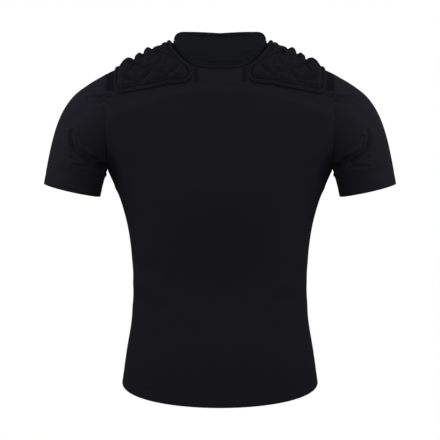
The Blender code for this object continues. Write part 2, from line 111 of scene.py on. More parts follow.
# The seam that arches across the back below the pads, as places beside the middle. Its folded edges lift
# the cloth above it.
YOKE_SEAM = [(0.0, -0.0931), (0.034, -0.0937), (0.061, -0.0959), (0.085, -0.0995), (0.102, -0.1037),
             (0.1256, -0.1094), (0.1444, -0.1158), (0.1632, -0.1224), (0.186, -0.1311), (0.198, -0.136)]
YOKE_LIFT = 0.0034
YOKE_ABOVE = 0.0150
YOKE_BELOW = 0.0115
YOKE_ROUND = 0.0024
YOKE_EASE = 0.010
HEM_STITCHES = (0.0170, 0.0205)
HEM_PRESS = 0.0004
HEM_PRESS_WIDTH = 0.0011
NECK_STITCH = 0.0048
NECK_GROOVE = 0.0050
NECK_GROOVE_WIDTH = 0.0019
NECK_PRESS = 0.0007
SEAM_PRESS = 0.0002
SEAM_PRESS_WIDTH = 0.0022
CREASE_EASE = 0.006
CREASE_AT_SEAM = 0.35
CREASE_STEPS = 24
# Beside each crease the cloth stands up a little. Place and width count in the crease's half widths.
LIP_SHARE = 0.38
LIP_PLACE = 1.9
LIP_WIDTH = 0.9
# The sides are rounded off near the underarms. Reach and spread count in steps along the cloth.
EASE_STEP = 0.001
EASE_REACH = 24
EASE_SPREAD = 8.0
EASE_HEIGHT = 0.035
EASE_SIDE = 0.95
EASE_SIDE_FADE = 0.12
HEM_FINE = 0.026
SHOULDER_FINE = 0.955


def smooth_curve(places, values):
    """A function that runs smoothly through the values given at rising places."""
    places = np.array(places, float)
    values = np.array(values, float)
    slopes = np.gradient(values, places)

    def value_at(place):
        index = np.clip(np.searchsorted(places, place) - 1, 0, len(places) - 2)
        span = places[index + 1] - places[index]
        share = (place - places[index]) / span
        bend = share * share * (3 - 2 * share)
        ease_in = share * (1 - share) ** 2 * span * slopes[index]
        ease_out = share * share * (share - 1) * span * slopes[index + 1]
        return values[index] * (1 - bend) + values[index + 1] * bend + ease_in + ease_out

    return value_at


heights = [section.height for section in BODY]
half_width_at = smooth_curve(heights, [section.half_width for section in BODY])
tail_at = smooth_curve(heights, [section.tail for section in BODY])
depth_at = {
    side: smooth_curve(heights + [ARMHOLE_MIDDLE],
                       [getattr(section, field) for section in BODY] + [YOKE_DEPTH[side]])
    for side, field in ((BACK, "back"), (FRONT, "front"))
}


def places(x, y, z):
    return np.stack(np.broadcast_arrays(x, y, z), axis=-1).astype(float)


def ridge_height(across):
    """Height of the shoulder line: it sweeps up to the neck and slopes down to the armhole."""
    near = math.hypot(NECK_HALF_WIDTH, SHOULDER_ROUND)
    slope = (NECK_POINT_Z - ARMHOLE_TOP) / (math.hypot(ARMHOLE_X, SHOULDER_ROUND) - near)
    beside = np.maximum(np.abs(across) - NECK_HALF_WIDTH, 0) / NECK_RISE_WIDTH
    rise = NECK_RISE * np.exp(-beside * beside)
    return NECK_POINT_Z + rise - slope * (np.hypot(across, SHOULDER_ROUND) - near)


def edge_turn(side, height):
    """How far round the body, from the middle of the back or chest, the armhole's edge lies."""
    rise = np.clip((height - ARMHOLE_MIDDLE) / ARMHOLE_HALF, -1, 1)
    edge = ARMHOLE_DEPTH[side] * np.sqrt(1 - rise * rise)
    return np.arccos((edge / depth_at[side](height)) ** (1 / RING_SQUARENESS))


def yoke_width_depth(side, across):
    share = across / ARMHOLE_X * np.sin(edge_turn(side, ARMHOLE_MIDDLE))
    return YOKE_DEPTH[side] * (1 - share * share) ** (RING_SQUARENESS / 2)


def yoke_power(side, across):
    return 2 - SLOPE_STRAIGHTNESS[side] * (1 - (across / ARMHOLE_X) ** 2) ** 2


def yoke_point(side, across, turn):
    """A point above the middle of the armhole; the turn runs from the shoulder line (0) to a quarter."""
    power = 2 / yoke_power(side, across)
    depth = yoke_width_depth(side, across) * np.sin(turn) ** power
    rise = ridge_height(across) - ARMHOLE_MIDDLE
    return places(across, side * depth, ARMHOLE_MIDDLE + rise * np.maximum(np.cos(turn), 0) ** power)


def neck_bow(share):
    return np.maximum(1 - np.abs(share) ** NECK_SQUARENESS, 0) ** (1 / NECK_SQUARENESS)


def neck_turn(side, across):
    """The turn at which a slope meets the neckline; the shoulder seam where there is no neckline."""
    depth = NECK_DEPTH[side] * neck_bow(across / NECK_HALF_WIDTH)
    share = (depth / yoke_width_depth(side, across)) ** (yoke_power(side, across) / 2)
    turn = np.arcsin(np.minimum(share, 1))
    return np.where(np.abs(across) >= NECK_HALF_WIDTH, 0.0, turn)


def armhole_inward(side, angle):
    """Direction into the armhole at an angle that is zero half-way up and a quarter at the top."""
    inward = -places(0, side * np.abs(np.cos(angle)) / ARMHOLE_DEPTH[side], np.sin(angle) / ARMHOLE_HALF)
    return inward / np.linalg.norm(inward, axis=-1, keepdims=True)


def body_point(side, across, height):
    """A point between hem and underarm; across runs from -1 to 1 between the side seams."""
    turn = across * QUARTER
    bow = np.maximum(np.cos(turn), 0) ** RING_SQUARENESS
    tail = tail_at(height) * (1 if side == BACK else FRONT_TAIL_SHARE)
    depth = depth_at[side](height) * bow
    return places(half_width_at(height) * np.sin(turn), side * depth, height - tail * bow)


def armhole_point(side, across, angle):
    """A point between underarm and the middle of the armhole, at an angle from minus a quarter to zero."""
    height = ARMHOLE_MIDDLE + ARMHOLE_HALF * np.sin(angle)
    edge = edge_turn(side, height)
    ring = np.sin(-angle) ** 2
    turn = ring * across * edge + (1 - ring) * np.arcsin(across * np.sin(edge))
    depth = depth_at[side](height) * np.cos(turn) ** RING_SQUARENESS
    return places(ARMHOLE_X * np.sin(turn) / np.sin(edge), side * depth, height)


def grid_normals(grid, closed):
    """Unit normals of a grid of points; closed where the last column meets the first."""
    along = np.gradient(grid, axis=0)
    if closed:
        around = np.roll(grid, -1, axis=1) - np.roll(grid, 1, axis=1)
    else:
        around = np.gradient(grid, axis=1)
    normals = np.cross(around, along)
    return normals / np.maximum(np.linalg.norm(normals, axis=2, keepdims=True), 1e-12)


def lengths(grid, axis):
    """Distance of each point from the grid's first row or column, measured along the cloth."""
    steps = np.linalg.norm(np.diff(grid, axis=axis), axis=2)
    start = np.zeros_like(np.take(steps, [0], axis=axis))
    return np.concatenate([start, np.cumsum(steps, axis=axis)], axis=axis)


def line_distance(spots, line):
    """Distance from each spot to the nearest place on a line through several points."""
    nearest = np.full(spots.shape[:-1], 1e9)
    line = np.array(line, float)
    for start, end in zip(line[:-1], line[1:]):
        span = end - start
        share = np.clip(((spots - start) @ span) / (span @ span), 0, 1)
        nearest = np.minimum(nearest, np.linalg.norm(spots - (start + share[..., None] * span), axis=-1))
    return nearest


def smooth_line(corners):
    """Evenly spaced points on a smooth line through a few corners."""
    corners = np.array(corners, float)
    far = np.concatenate([[0], np.cumsum(np.linalg.norm(np.diff(corners, axis=0), axis=1))])
    steps = np.linspace(0, far[-1], CREASE_STEPS + 1)
    return np.stack([smooth_curve(far, corners[:, axis])(steps) for axis in (0, 1)], axis=1)


def crease_pull(grid, creases):
    """How far soft creases draw the cloth in: a trough with a low ridge on each side of it.

    Each is deepest at the end of its line and fades towards the start.
    """
    seen = grid[..., [0, 2]]
    pull = np.zeros(grid.shape[:2])
    for crease in creases:
        gaps = np.linalg.norm(seen[:, :, None, :] - smooth_line(crease.line), axis=-1)
        share = gaps.argmin(axis=2) / CREASE_STEPS
        away = gaps.min(axis=2) / crease.half_width
        fade = 0.5 + 0.5 * np.clip(share * 1.6, 0, 1)
        lip = LIP_SHARE * np.exp(-((away - LIP_PLACE) / LIP_WIDTH) ** 2)
        pull += crease.depth * fade * (np.exp(-away ** 2) - lip)
    return pull


def press(distance, place, width, depth):
    return depth * np.exp(-((distance - place) / width) ** 2)


yoke_seam_at = smooth_curve(*zip(*YOKE_SEAM))


def yoke_lift(grid):
    """How far the back stands out along the yoke's seam, rising from above and falling away below it."""
    below = yoke_seam_at(np.abs(grid[..., 0])) - grid[..., 2]
    rise = 0.5 + 0.5 * np.cos(np.pi * np.clip(-below / YOKE_ABOVE, 0, 1))
    past = (below + np.hypot(below, YOKE_ROUND)) / 2
    return YOKE_LIFT * rise * np.exp(-past / YOKE_BELOW)


def closed_piece(mesh, spots, sharp):
    """An object of a closed mesh, with a map in metres, faces turned outwards and its sharp edges kept."""
    cloth_map = mesh.uv_layers.new(name="cloth")
    cloth_map.data.foreach_set("uv", spots.astype(float).reshape(-1))
    bm = bmesh.new()
    bm.from_mesh(mesh)
    bmesh.ops.recalc_face_normals(bm, faces=bm.faces)
    bm.to_mesh(mesh)
    bm.free()
    mesh.shade_smooth()
    mesh.set_sharp_from_angle(angle=math.radians(sharp))
    piece = bpy.data.objects.new(mesh.name, mesh)
    bpy.context.scene.collection.objects.link(piece)
    return piece


def cloth_wall(name, outer, inner, closed):
    """A thin wall between two grids of points, with a map that follows the cloth in metres."""
    rows, columns = outer.shape[:2]
    last = columns if closed else columns - 1
    index = np.arange(rows * columns).reshape(rows, columns)
    beside = np.roll(index, -1, axis=1)
    quads = np.stack([index[:-1, :last], beside[:-1, :last], beside[1:, :last], index[1:, :last]], axis=-1)
    inside = quads[..., ::-1] + rows * columns
    far = rows * columns
    rims = []
    for row, turn in ((0, 1), (rows - 1, -1)):
        rim = np.stack([beside[row, :last], index[row, :last], index[row, :last] + far,
                        beside[row, :last] + far], axis=-1)
        rims.append(rim[:, ::turn])
    if not closed:
        for column, turn in ((0, -1), (columns - 1, 1)):
            rim = np.stack([index[1:, column], index[:-1, column], index[:-1, column] + far,
                            index[1:, column] + far], axis=-1)
            rims.append(rim[:, ::turn])
    faces = np.concatenate([quads.reshape(-1, 4), inside.reshape(-1, 4)] + rims)
    points = np.concatenate([outer.reshape(-1, 3), inner.reshape(-1, 3)])
    mesh = bpy.data.meshes.new(name)
    mesh.from_pydata(points.tolist(), [], faces.tolist())
    looped = np.concatenate([outer, outer[:, :1]], axis=1) if closed else outer
    across = lengths(looped, 1).mean(axis=0)
    along = lengths(outer, 0).mean(axis=1)
    column_of = np.tile(np.tile(np.arange(columns), rows), 2)[faces]
    row_of = np.tile(np.repeat(np.arange(rows), columns), 2)[faces]
    wraps = (column_of.max(axis=1) - column_of.min(axis=1) > columns // 2)[:, None] & (column_of == 0)
    spots = np.stack([across[np.where(wraps, columns, column_of)] if closed else across[column_of],
                      along[row_of]], axis=-1)
    return closed_piece(mesh, spots, 60)


def cloth_area(grid, closed):
    """Area of one layer of the cloth."""
    looped = np.concatenate([grid, grid[:, :1]], axis=1) if closed else grid
    first = looped[1:, 1:] - looped[:-1, :-1]
    second = looped[1:, :-1] - looped[:-1, 1:]
    return float(np.linalg.norm(np.cross(first, second), axis=2).sum() / 2)


class Shade:
    """A socket of a material's nodes, with arithmetic that adds the nodes it needs."""

    def __init__(self, tree, socket):
        self.tree = tree
        self.socket = socket

    def node(self, kind, settings=(), output=0, **sockets):
        made = self.tree.nodes.new(kind)
        for name, value in dict(settings).items():
            setattr(made, name, value)
        for name, value in sockets.items():
            numbered = name[1:].isdigit()
            found = made.inputs[int(name[1:]) if numbered else name.replace("_", " ")]
            if isinstance(value, Shade):
                self.tree.links.new(value.socket, found)
            else:
                found.default_value = value
        return Shade(self.tree, made.outputs[output])

    def maths(self, operation, first, second=0.0):
        return self.node("ShaderNodeMath", {"operation": operation}, i0=first, i1=second)

    def __add__(self, other):
        return self.maths("ADD", self, other)

    def __radd__(self, other):
        return self.maths("ADD", other, self)

    def __sub__(self, other):
        return self.maths("SUBTRACT", self, other)

    def __rsub__(self, other):
        return self.maths("SUBTRACT", other, self)

    def __mul__(self, other):
        return self.maths("MULTIPLY", self, other)

    def __rmul__(self, other):
        return self.maths("MULTIPLY", other, self)

    def __truediv__(self, other):
        return self.maths("DIVIDE", self, other)

    def __pow__(self, other):
        return self.maths("POWER", self, other)

    def fraction(self):
        return self.maths("FRACT", self)

    def size(self):
        return self.maths("ABSOLUTE", self)

    def wave(self):
        return self.maths("SINE", self)


def knit_cloth(name, colour, wale, course, relief, roughness, sheen):
    """Knitted cloth: rows of small slanting loops, with uneven dye, painted shade in the grooves between the
    loops, and a soft nap.
    """
    material = bpy.data.materials.new(name)
    material.use_nodes = True
    tree = material.node_tree
    shader = tree.nodes["Principled BSDF"]
    start = Shade(tree, None)
    spot = start.node("ShaderNodeUVMap", {"uv_map": "cloth"})
    across = start.node("ShaderNodeSeparateXYZ", Vector=spot)
    along = Shade(tree, across.socket.node.outputs[1])
    slant = ((across / wale).fraction() - 0.5).size()
    loops = ((along / course + slant) * (2 * math.pi)).wave() * 0.5 + 0.5
    ribs = 1 - (slant * 2) ** 3
    place = start.node("ShaderNodeTexCoord", output=3)
    broad = start.node("ShaderNodeTexNoise", Vector=place, Scale=9.0, Detail=3.0, Roughness=0.55)
    fuzz = start.node("ShaderNodeTexNoise", Vector=place, Scale=620.0, Detail=2.0, Roughness=0.6)
    height = loops * ribs + fuzz * 0.35
    dark = [part * 0.80 for part in colour] + [1.0]
    light = [part * 1.20 for part in colour] + [1.0]
    # The colour mixes uneven dye from the two noises with painted shade: the loops are painted lighter on top
    # and darker in their grooves.
    share = broad * 0.55 + fuzz * 0.25 + loops * ribs * 0.20
    base_tone = start.node("ShaderNodeMix", {"data_type": "RGBA"}, output=2, i0=share, i6=dark, i7=light)
    tree.links.new(base_tone.socket, shader.inputs["Base Color"])
    rough = roughness - 0.06 + broad * 0.12
    tree.links.new(rough.socket, shader.inputs["Roughness"])
    bump = start.node("ShaderNodeBump", Strength=0.55, Distance=relief, Height=height)
    tree.links.new(bump.socket, shader.inputs["Normal"])
    shader.inputs["Specular IOR Level"].default_value = 0.04
    shader.inputs["Sheen Weight"].default_value = sheen
    shader.inputs["Sheen Roughness"].default_value = 0.45
    shader.inputs["Sheen Tint"].default_value = (0.80, 0.82, 1.0, 1.0)
    return material


JERSEY_COLOUR = (0.0066, 0.0061, 0.0090)
jersey = knit_cloth("body_jersey", JERSEY_COLOUR, wale=0.0010, course=0.0008, relief=0.00025,
                    roughness=0.82, sheen=0.006)

# Beside each pad the back is painted darker, from under the pad to the armhole: painted shade beside the
# pad's thick edge.
PAD_SHADE_COLOUR = (0.0031, 0.0026, 0.0054)
PAD_SHADE_INNER = 0.172
PAD_SHADE_LOWER = -0.0865
pad_shade_jersey = knit_cloth("pad_shade_jersey", PAD_SHADE_COLOUR, wale=0.0010, course=0.0008, relief=0.00025,
                          roughness=0.85, sheen=0.003)

neck_share = NECK_HALF_WIDTH / ARMHOLE_X
neck_columns = neck_share * np.sin(np.linspace(0, QUARTER, 62))
shoulder_columns = np.concatenate([np.linspace(neck_share, SHOULDER_FINE, 34)[1:],
                                   np.linspace(SHOULDER_FINE, 1, 10)[1:]])
half_columns = np.concatenate([neck_columns, shoulder_columns])
panel_columns = np.concatenate([-half_columns[:0:-1], half_columns])
body_heights = np.concatenate([np.linspace(heights[0], heights[0] + HEM_FINE, 18)[:-1],
                               np.linspace(heights[0] + HEM_FINE, heights[-1], 100)])
armhole_angles = np.linspace(-QUARTER, 0, 33)[1:]
yoke_shares = 1 - (1 - np.linspace(0, 1, 71)[1:]) ** 1.2
body_rows = len(body_heights)


def even_out(grid):
    """Rounds off the turn where the sides of the body meet the armholes, over some 8 mm of cloth."""
    up = lengths(grid, 0)
    smooth = grid.copy()
    kernel = np.exp(-0.5 * (np.arange(-EASE_REACH, EASE_REACH + 1) / EASE_SPREAD) ** 2)
    kernel /= kernel.sum()
    for column in range(grid.shape[1]):
        steps = np.arange(0, up[-1, column], EASE_STEP)
        for axis in range(3):
            line = np.interp(steps, up[:, column], grid[:, column, axis])
            before = 2 * line[0] - line[EASE_REACH:0:-1]
            after = 2 * line[-1] - line[-2:-EASE_REACH - 2:-1]
            eased = np.convolve(np.concatenate([before, line, after]), kernel, "valid")
            smooth[:, column, axis] = np.interp(up[:, column], steps, eased)
    near = np.exp(-((grid[..., 2] - ARMHOLE_BOTTOM) / EASE_HEIGHT) ** 2)
    near = near * np.clip((EASE_SIDE - np.abs(panel_columns)) / EASE_SIDE_FADE, 0, 1)
    return grid + (smooth - grid) * near[..., None]


def panel_form(side):
    """The panel's outer points before any crease, and the directions into the cloth."""
    low = body_point(side, panel_columns[None, :], body_heights[:, None])
    middle = armhole_point(side, panel_columns[None, :], armhole_angles[:, None])
    across = panel_columns * ARMHOLE_X
    turns = QUARTER + (neck_turn(side, across)[None, :] - QUARTER) * yoke_shares[:, None]
    high = yoke_point(side, across[None, :], turns)
    outer = even_out(np.concatenate([low, middle, high]))
    outer[..., 1] = side * np.maximum(side * outer[..., 1], SEAM_GAP / 2)
    inward = side * grid_normals(outer, closed=False)
    shoulder = np.flatnonzero(np.abs(panel_columns) >= neck_share - 1e-9)
    inward[:body_rows, [0, -1], 1] = 0
    inward[-1, shoulder, 1] = 0
    inward /= np.linalg.norm(inward, axis=2, keepdims=True)
    angles = np.concatenate([[-QUARTER], armhole_angles, QUARTER * yoke_shares])
    inward[body_rows - 1:, 0] = armhole_inward(side, angles)
    inward[body_rows - 1:, -1] = armhole_inward(side, angles)
    return outer, inward


panel_outer = {}
for name, side in (("back", BACK), ("front", FRONT)):
    outer, inward = panel_form(side)
    up = lengths(outer, 0)
    from_left = lengths(outer, 1)
    to_edge = np.minimum(from_left, from_left[:, -1:] - from_left)
    to_top = up[-1:] - up
    pull = crease_pull(outer, PANEL_CREASES[side])
    pull *= np.clip(to_edge / CREASE_EASE, CREASE_AT_SEAM, 1)
    if side == BACK:
        pull -= yoke_lift(outer) * np.clip(to_edge / YOKE_EASE, 0, 1)
    at_neck = np.abs(panel_columns)[None, :] < neck_share
    pull += press(to_edge, 0, SEAM_PRESS_WIDTH, SEAM_PRESS)
    pull += press(to_top, 0, SEAM_PRESS_WIDTH, np.where(at_neck, NECK_PRESS, SEAM_PRESS))
    pull += sum(press(up, row, HEM_PRESS_WIDTH, HEM_PRESS) for row in HEM_STITCHES)
    pull += np.where(at_neck, press(to_top, NECK_STITCH, NECK_GROOVE_WIDTH, NECK_GROOVE), 0)
    outer = outer + inward * pull[..., None]
    panel = cloth_wall("dressed_" + name, outer, outer + inward * PANEL_CLOTH, False)
    panel.data.materials.append(jersey)
    # The back's faces beside each pad, out to the armhole, take the painted shade.
    if side == BACK:
        panel.data.materials.append(pad_shade_jersey)
        for face in panel.data.polygons:
            face.material_index = int(abs(face.center.x) > PAD_SHADE_INNER and face.center.z > PAD_SHADE_LOWER)
    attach(panel, "root")
    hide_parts(name + "_panel")
    cloth_area(outer, False)
    panel_outer[side] = outer


# Sleeves: short set-in sleeves of the same jersey, each sewn round its armhole and hemmed at the cuff.
# Folds gather at the underarm on both sides, and one soft crease crosses the seam above.
SLEEVE_CLOTH = 0.0018
# The sleeves' jersey is painted a little lighter than the body's: painted light on the sleeves.
SLEEVE_LIT_COLOUR = (0.0076, 0.0070, 0.0103)
Cuff = namedtuple("Cuff", "outer_x outer_z inner_x inner_z back front dip")
SLEEVE = [
    Cuff(outer_x=0.197, outer_z=-0.0514, inner_x=0.197, inner_z=-0.2195, back=0.072, front=0.062, dip=0.0),
    Cuff(outer_x=0.229, outer_z=-0.0702, inner_x=0.1985, inner_z=-0.2234, back=0.072, front=0.063, dip=0.0),
    Cuff(outer_x=0.2545, outer_z=-0.0897, inner_x=0.2, inner_z=-0.2272, back=0.071, front=0.063, dip=0.0),
    Cuff(outer_x=0.2718, outer_z=-0.1123, inner_x=0.2013, inner_z=-0.2314, back=0.07, front=0.063, dip=0.0),
    Cuff(outer_x=0.284, outer_z=-0.138, inner_x=0.2026, inner_z=-0.2362, back=0.068, front=0.062, dip=0.001),
    Cuff(outer_x=0.2934, outer_z=-0.1685, inner_x=0.2042, inner_z=-0.2428, back=0.065, front=0.06, dip=0.002),
    Cuff(outer_x=0.301, outer_z=-0.203, inner_x=0.2064, inner_z=-0.2515, back=0.062, front=0.058, dip=0.003),
    Cuff(outer_x=0.3085, outer_z=-0.244, inner_x=0.2095, inner_z=-0.2665, back=0.058, front=0.055, dip=0.005),
]
SLEEVE_CREASES = {
    BACK: [
        Crease(line=[(0.254, -0.157), (0.2526, -0.18), (0.2403, -0.1945), (0.2196, -0.2073), (0.201, -0.219)],
               depth=0.0074, half_width=0.0041),
        Crease(line=[(0.2475, -0.166), (0.241, -0.1845), (0.2265, -0.197), (0.212, -0.205)],
               depth=0.005, half_width=0.0031),
        Crease(line=[(0.254, -0.1925), (0.2403, -0.2006), (0.2231, -0.2085)],
               depth=0.0047, half_width=0.0027),
        Crease(line=[(0.254, -0.2), (0.2334, -0.2091), (0.22, -0.212)], depth=0.0037, half_width=0.0026),
        Crease(line=[(0.254, -0.2165), (0.2265, -0.2155), (0.209, -0.2205)],
               depth=0.0025, half_width=0.003),
        Crease(line=[(0.213, -0.2), (0.205, -0.209), (0.1995, -0.217)], depth=0.0046, half_width=0.0056),
        Crease(line=[(0.229, -0.0968), (0.2124, -0.0962), (0.197, -0.096)],
               depth=0.0048, half_width=0.0028),
        Crease(line=[(0.226, -0.108), (0.2004, -0.1084)], depth=0.0016, half_width=0.0032),
        Crease(line=[(0.274, -0.223), (0.254, -0.231), (0.233, -0.248)], depth=0.0022, half_width=0.009),
        Crease(line=[(0.259, -0.145), (0.25, -0.131), (0.238, -0.123)], depth=0.0018, half_width=0.0075),
    ],
    FRONT: [
        Crease(line=[(0.25, -0.161), (0.247, -0.184), (0.235, -0.196), (0.216, -0.208), (0.201, -0.219)],
               depth=0.0058, half_width=0.005),
        Crease(line=[(0.244, -0.172), (0.233, -0.188), (0.219, -0.199)], depth=0.0038, half_width=0.0036),
        Crease(line=[(0.25, -0.199), (0.233, -0.206), (0.219, -0.211)], depth=0.003, half_width=0.003),
        Crease(line=[(0.254, -0.219), (0.23, -0.217), (0.21, -0.2205)], depth=0.0032, half_width=0.0036),
        Crease(line=[(0.213, -0.201), (0.204, -0.21), (0.199, -0.217)], depth=0.0056, half_width=0.0064),
        Crease(line=[(0.226, -0.099), (0.211, -0.098), (0.197, -0.0985)], depth=0.002, half_width=0.0036),
        Crease(line=[(0.27, -0.228), (0.248, -0.235), (0.231, -0.245)], depth=0.002, half_width=0.009),
    ],
}
CUFF_STITCHES = (0.0150, 0.0180)
SEAM_BLEND = 0.3
UNDERARM_EASE = 0.024
SLEEVE_SEAM_EASE = 0.005
CREASE_AT_ARMHOLE = 0.25
CUFF_EASE = 0.012

# The same knit as the body, painted lighter as painted light on the sleeves.
lit_sleeve_jersey = knit_cloth("lit_sleeve_jersey", SLEEVE_LIT_COLOUR, wale=0.0010, course=0.0008, relief=0.00025,
                           roughness=0.80, sheen=0.008)
sleeve_at = {field: smooth_curve(np.linspace(0, 1, len(SLEEVE)), [getattr(cuff, field) for cuff in SLEEVE])
             for field in Cuff._fields}


def sleeve_point(along, angle):
    """A point of the left sleeve; the angle is minus a quarter at the underarm and zero at the back."""
    up = np.sin(angle)
    x = (sleeve_at["outer_x"](along) * (1 + up) + sleeve_at["inner_x"](along) * (1 - up)) / 2
    z = (sleeve_at["outer_z"](along) * (1 + up) + sleeve_at["inner_z"](along) * (1 - up)) / 2
    reach = np.cos(angle)
    depth = np.where(reach > 0, sleeve_at["back"](along), sleeve_at["front"](along)) * reach
    return places(x, depth, z - sleeve_at["dip"](along) * np.abs(reach))


sleeve_angles = np.linspace(0, 2 * math.pi, 264, endpoint=False) - QUARTER
sleeve_shares = np.concatenate([np.linspace(0, 0.05, 9)[:-1], np.linspace(0.05, 1, 112)])
sleeve_form = sleeve_point(sleeve_shares[:, None], sleeve_angles[None, :])
sleeve_inward = grid_normals(sleeve_form, closed=True)
sleeve_middle = sleeve_form.mean(axis=1, keepdims=True)
sleeve_inward *= np.sign(((sleeve_middle - sleeve_form) * sleeve_inward).sum(axis=2, keepdims=True))
seam_inward = np.where((np.cos(sleeve_angles) > 0)[:, None], armhole_inward(BACK, sleeve_angles),
                       armhole_inward(FRONT, sleeve_angles))
seam_share = np.clip(1 - sleeve_shares / SEAM_BLEND, 0, 1)[:, None, None]
sleeve_inward = sleeve_inward * (1 - seam_share) + seam_inward[None] * seam_share
sleeve_inward /= np.linalg.norm(sleeve_inward, axis=2, keepdims=True)
from_seam = lengths(sleeve_form, 0)
to_cuff = from_seam[-1:] - from_seam
behind = np.clip(sleeve_form[..., 1] / UNDERARM_EASE, 0, 1)
before = np.clip(-sleeve_form[..., 1] / UNDERARM_EASE, 0, 1)
sleeve_pull = crease_pull(sleeve_form, SLEEVE_CREASES[BACK]) * behind
sleeve_pull += crease_pull(sleeve_form, SLEEVE_CREASES[FRONT]) * before
sleeve_pull *= np.clip(from_seam / SLEEVE_SEAM_EASE, CREASE_AT_ARMHOLE, 1)
sleeve_pull *= np.clip(to_cuff / CUFF_EASE, 0, 1)
sleeve_pull += press(from_seam, 0, SEAM_PRESS_WIDTH, SEAM_PRESS)
sleeve_pull += sum(press(to_cuff, row, HEM_PRESS_WIDTH, HEM_PRESS) for row in CUFF_STITCHES)
sleeve_outer = sleeve_form + sleeve_inward * sleeve_pull[..., None]
sleeve_outer[..., 0] += SEAM_GAP
sleeve_inner = sleeve_outer + sleeve_inward * SLEEVE_CLOTH

for name, mirror in (("left", 1), ("right", -1)):
    flip = np.array([mirror, 1, 1])
    sleeve = cloth_wall("dressed_sleeve_" + name, sleeve_outer * flip, sleeve_inner * flip, True)
    sleeve.data.materials.append(lit_sleeve_jersey)
    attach(sleeve, "root")
    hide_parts("sleeve_" + name)
    cloth_area(sleeve_outer, True)


# Neck band: a short stand-up band of doubled jersey, sewn to the neckline and bound along its top edge.
# It stands highest behind the ears and drops towards the throat.
COLLAR_CLOTH = 0.0026
COLLAR_COLOUR = (0.0046, 0.0050, 0.0070)
COLLAR_HALF_WIDTH = 0.0765
COLLAR_DEPTH = {BACK: 0.064, FRONT: 0.058}
COLLAR_BOW = 0.0026
Rim = namedtuple("Rim", "turn height")
COLLAR_RIM = [
    Rim(turn=0, height=0.013),
    Rim(turn=45, height=0.0165),
    Rim(turn=65, height=0.0176),
    Rim(turn=78, height=0.0156),
    Rim(turn=90, height=0.0108),
    Rim(turn=125, height=-0.008),
    Rim(turn=180, height=-0.03),
]
BINDING_WIDTH = 0.0070
BINDING_BULGE = 0.0011
COLLAR_STITCH = 0.0050
# The inner layer reaches below the seam, so that no light shows between the band and the panels.
COLLAR_TUCK = 0.0016
COLLAR_SIDE_TUCK = 0.00256
Trough = namedtuple("Trough", "place width depth")
TROUGHS_BELOW_RIM = [
    Trough(place=0.0, width=0.0012, depth=0.0008),
    Trough(place=BINDING_WIDTH + 0.0012, width=0.0026, depth=0.003),
    Trough(place=0.015, width=0.004, depth=0.0007),
]
TROUGHS_ABOVE_SEAM = [
    Trough(place=COLLAR_STITCH, width=0.0016, depth=0.002),
    Trough(place=0.0, width=SEAM_PRESS_WIDTH, depth=NECK_PRESS),
]
SIDE_TROUGH = Trough(place=0.0130, width=0.0036, depth=0.0022)

collar_jersey = knit_cloth("neck_band_jersey", COLLAR_COLOUR, wale=0.0012, course=0.0009, relief=0.0003,
                           roughness=0.84, sheen=0.006)
rim_at = smooth_curve(*zip(*COLLAR_RIM))


def collar_point(turn, share):
    """A point of the neck band; the turn is zero at the middle of the back, the share zero at the seam."""
    across = NECK_HALF_WIDTH * np.sin(turn)
    behind = np.cos(turn) >= 0
    low = np.where(behind[..., None], yoke_point(BACK, across, neck_turn(BACK, across)),
                   yoke_point(FRONT, across, neck_turn(FRONT, across)))
    low = low + np.array([0, 0, 1.25 * SEAM_GAP])
    from_back = np.abs((np.degrees(turn) + 180) % 360 - 180)
    depth = np.where(behind, COLLAR_DEPTH[BACK], -COLLAR_DEPTH[FRONT]) * neck_bow(np.sin(turn))
    high = places(COLLAR_HALF_WIDTH * np.sin(turn), depth, rim_at(from_back))
    bow = COLLAR_BOW * np.sin(math.pi * share)
    return low + (high - low) * share[..., None] + bow[..., None] * places(np.sin(turn), np.cos(turn), 0)


collar_turns = np.linspace(0, 2 * math.pi, 288, endpoint=False)
collar_shares = np.linspace(0, 1, 56)
collar_form = collar_point(*np.meshgrid(collar_turns, collar_shares))
collar_inward = grid_normals(collar_form, closed=True)
collar_middle = collar_form.mean(axis=(0, 1))
collar_inward *= np.sign(((collar_middle - collar_form) * collar_inward).sum(axis=2, keepdims=True))
above_seam = lengths(collar_form, 0)
below_rim = above_seam[-1:] - above_seam
rolled = np.clip(below_rim / (BINDING_WIDTH / 2), 0, 2) - 1
collar_pull = -BINDING_BULGE * np.sqrt(np.maximum(1 - rolled ** 2, 0))
collar_pull += sum(press(below_rim, *trough) for trough in TROUGHS_BELOW_RIM)
collar_pull += sum(press(above_seam, *trough) for trough in TROUGHS_ABOVE_SEAM)
collar_pull += press(above_seam, *SIDE_TROUGH) * np.sin(2 * collar_turns) ** 2
collar_outer = collar_form + collar_inward * collar_pull[..., None]
collar_inner = collar_form + collar_inward * COLLAR_CLOTH
collar_inner[0, :, 2] -= COLLAR_TUCK + COLLAR_SIDE_TUCK * np.sin(collar_turns) ** 2
collar = cloth_wall("dressed_neck_band", collar_outer, collar_inner, True)
collar.data.materials.append(collar_jersey)
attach(collar, "root")
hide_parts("collar")
cloth_area(collar_outer, True)


# Shoulder pads: foam cells under a knitted cover, quilted along grooves and laid over each shoulder.
# The cover is swollen by cloth simulation between its grooves. A narrow raised edging runs round each pad.
PAD_COLOUR = (0.0054, 0.0049, 0.0074)
PAD_LIFT = 0.0007
PAD_RIM_HEIGHT = 0.0020
PAD_NECK_RIM = 0.0046
PAD_CELL_HEIGHT = 0.0078
PAD_RIM_BEVEL = 0.0120
PAD_GRID = 0.0016
NECK_REACH = (0.012, 0.030)
SHOULDER_REACH = 0.040
GROOVE_FLOOR = 0.0004
HELD_WIDTH = 0.0020
HELD_FIRMNESS = 1.6
PAD_ACROSS = (0.045, 0.186)
PAD_OVER = (-0.105, 0.138)
PAD_PRESSURE = 4.0
PAD_SWELL_LIMIT = 0.0050
SWELL_FRAMES = 20
EDGE_WIDTH = 0.0070
EDGE_HEIGHT = 0.0036
EDGE_NECK_RISE = 0.0028
EDGE_STATIONS = 360
